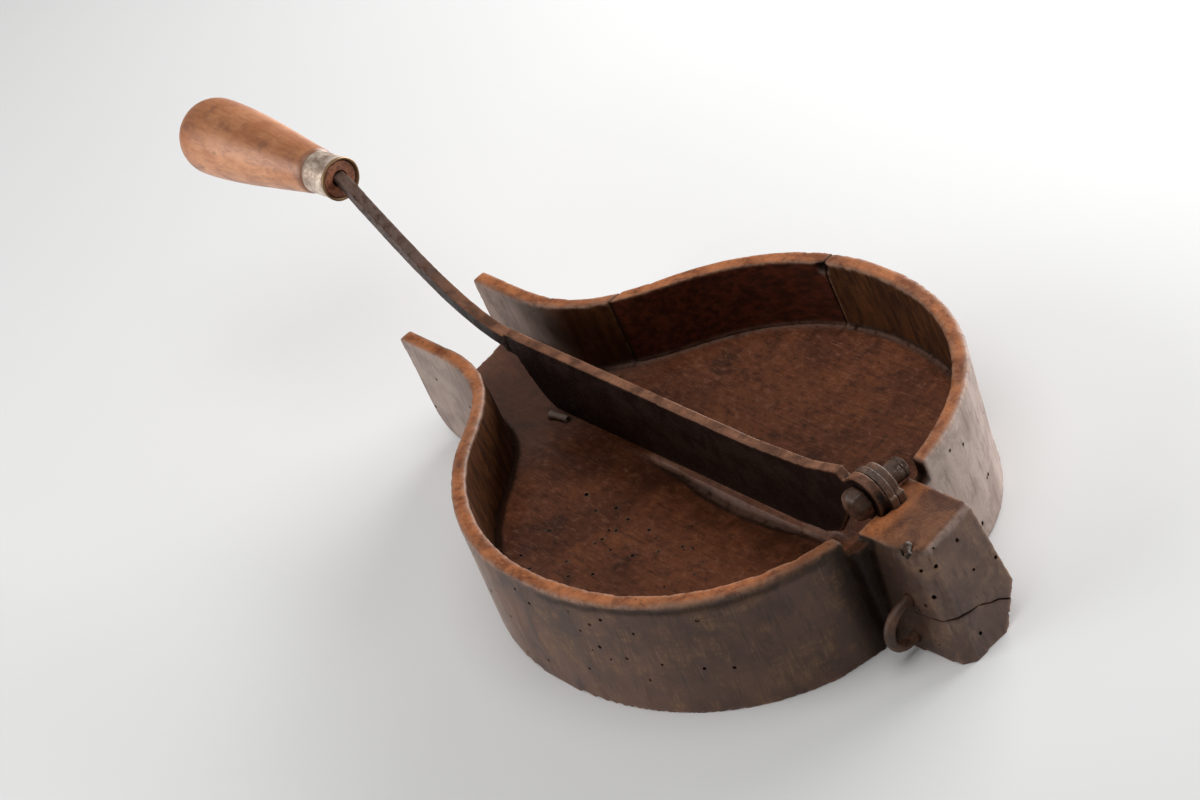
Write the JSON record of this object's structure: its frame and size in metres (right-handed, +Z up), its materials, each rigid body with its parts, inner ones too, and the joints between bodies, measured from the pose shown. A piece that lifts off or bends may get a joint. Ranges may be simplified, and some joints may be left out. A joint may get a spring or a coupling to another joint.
{
  "type": "hinged-blade tray cutter",
  "caption": "Pear-shaped carved wooden tray with a pouring spout and an iron chopping blade that swings on a pin at its back.",
  "frame": {"origin": "on the flat base, in the blade's plane, midway between the spout's tips and the back of the bowl", "axes": "+Z up from the base, +X from the spout towards the hinge block, +Y to the blade's right seen from the spout's end"},
  "size_m": [0.5933, 0.249, 0.1585],
  "materials": {
    "tray_wood": "worn, oiled dark hardwood with a paler rim",
    "insert_wood": "worn red-brown hardwood, long grain",
    "grip_wood": "turned, polished by use",
    "blade_iron": "forged, dark patina with brown rust",
    "ferrule_metal": "worn plating, mottled grey with a brassy rim",
    "hinge_iron": "forged, hammered, dark with rubbed highlights"
  },
  "bodies": {
    "tray": {"tray_body": "tray_wood", "wall_insert": "insert_wood", "hinge_pin": "hinge_iron", "pin_washer": "hinge_iron", "eye_spike_inner": "hinge_iron", "eye_spike_outer": "hinge_iron", "side_staple": "hinge_iron", "clenched_nails": "hinge_iron"},
    "blade_arm": {"blade": "blade_iron", "grip": "grip_wood", "ferrule": "ferrule_metal"}
  },
  "joints": [
    {"name": "blade_swing", "type": "hinge", "parent": "tray", "child": "blade_arm", "pos_m": [0.167, 0, 0.0643], "axis": [0, 1, 0], "range_deg": [0, 155]}
  ]
}
